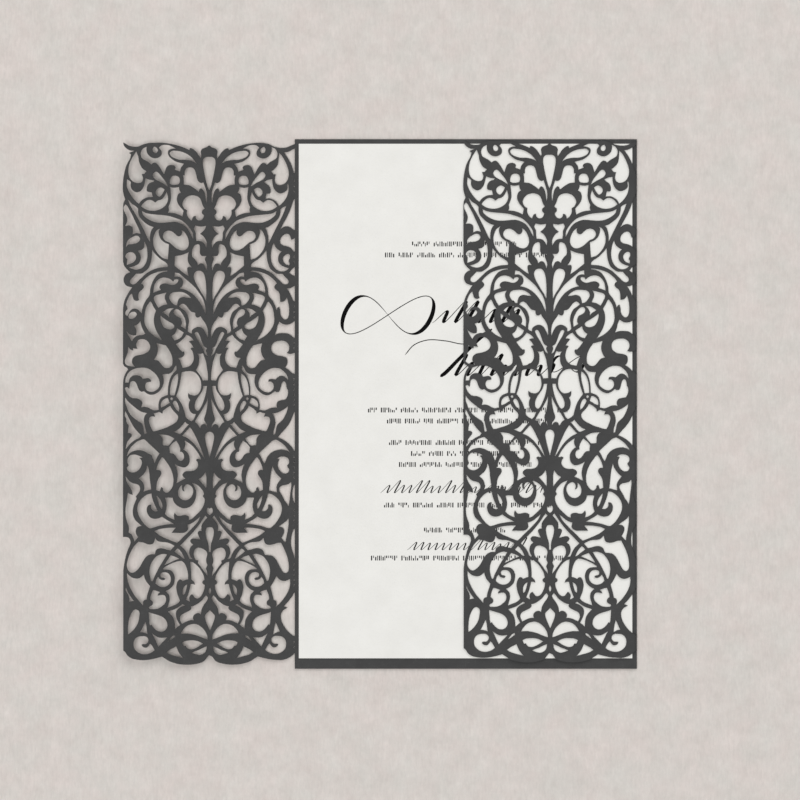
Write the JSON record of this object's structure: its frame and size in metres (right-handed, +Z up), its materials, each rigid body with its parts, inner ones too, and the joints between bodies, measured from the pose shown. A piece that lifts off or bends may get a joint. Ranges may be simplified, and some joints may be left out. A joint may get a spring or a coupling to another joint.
{
  "type": "laser cut invitation wrap",
  "caption": "Gatefold wrap of one dark card sheet with a back panel and two scroll lace flaps, one open and one folded over a plain pale invitation card",
  "frame": {"origin": "middle of the back panel's underside, which lies on the table", "axes": "+X to the side of the closed flap, +Y to the top of the invitation card, +Z up, out of the card's printed face"},
  "size_m": [0.1906, 0.1966, 0.0034],
  "materials": {
    "wrap_card": "matt charcoal card",
    "pale_card": "matt off-white felt card"
  },
  "bodies": {
    "root": {"wrap": "wrap_card", "invitation_card": "pale_card"}
  },
  "joints": []
}
